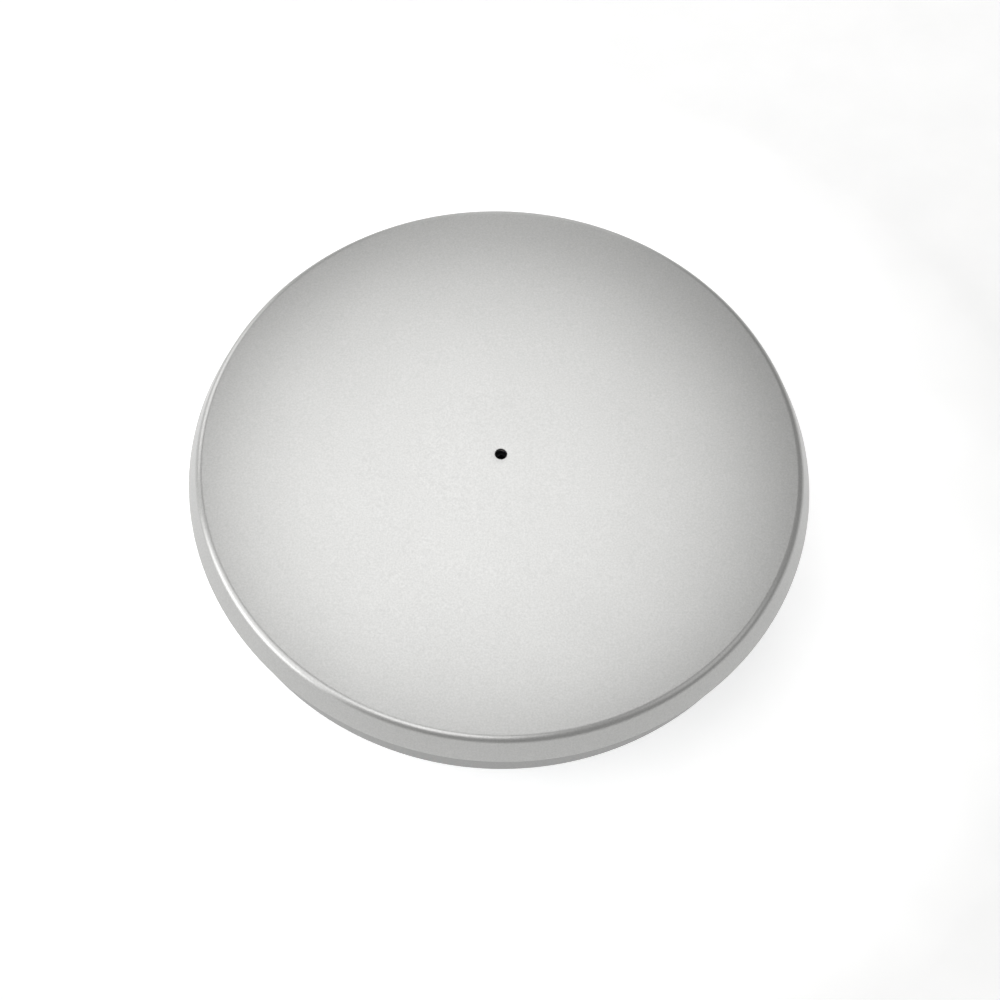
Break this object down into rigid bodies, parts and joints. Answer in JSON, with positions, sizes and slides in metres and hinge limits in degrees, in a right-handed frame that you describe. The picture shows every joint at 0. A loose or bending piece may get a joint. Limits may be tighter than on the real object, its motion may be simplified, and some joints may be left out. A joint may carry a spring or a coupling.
{
  "type": "ceiling air diffuser",
  "caption": "Round ceiling air diffuser: a solid, gently domed face plate over a back plate with a duct spigot; a central spindle moves the face plate in and out to set the air gap.",
  "frame": {"origin": "centre of the duct spigot's open end, the lowest point of the part as it stands on the spigot", "axes": "+Z along the duct axis, out of the middle of the face plate; on a ceiling +Z points down into the room. X runs along the crossbar."},
  "size_m": [0.3, 0.3, 0.1023],
  "materials": {
    "silver_paint": "satin",
    "galvanised_steel": "satin",
    "zinc_plated_steel": "satin",
    "black_steel": "satin",
    "spring_steel": "satin",
    "white_nylon": "satin",
    "black_rubber": "matte",
    "gasket_foam": "matte",
    "grey_felt": "matte"
  },
  "bodies": {
    "housing": {"back_plate": "galvanised_steel", "rim_band": "silver_paint", "ceiling_gasket": "gasket_foam", "duct_spigot": "galvanised_steel", "spigot_lip_seal": "black_rubber", "crossbar": "galvanised_steel", "spindle_nut": "zinc_plated_steel", "nut_locking_ring": "white_nylon", "guide_bush_1": "white_nylon", "guide_bush_2": "white_nylon", "crossbar_rivet_1": "zinc_plated_steel", "crossbar_rivet_2": "zinc_plated_steel", "crossbar_rivet_3": "zinc_plated_steel", "crossbar_rivet_4": "zinc_plated_steel"},
    "face": {"face_plate": "silver_paint", "face_insulation": "grey_felt", "hub_plate": "zinc_plated_steel", "hub_cup": "zinc_plated_steel", "thrust_washer_upper": "white_nylon", "thrust_washer_lower": "white_nylon", "circlip": "spring_steel", "guide_pin_1": "zinc_plated_steel", "guide_pin_2": "zinc_plated_steel"},
    "spindle": {"spindle": "black_steel", "stop_washer": "zinc_plated_steel", "stop_nut": "zinc_plated_steel"}
  },
  "joints": [
    {"name": "face_slide", "type": "slide", "parent": "housing", "child": "face", "axis": [0, 0, 1], "range_m": [0, 0.02]},
    {"name": "spindle_turn", "type": "hinge", "parent": "face", "child": "spindle", "pos_m": [0, 0, 0.05], "axis": [0, 0, 1], "range_deg": [0, 5760]}
  ],
  "couplings": [
    {"joint": "spindle_turn", "follows": "face_slide", "rad_per_m": 5026.5}
  ]
}
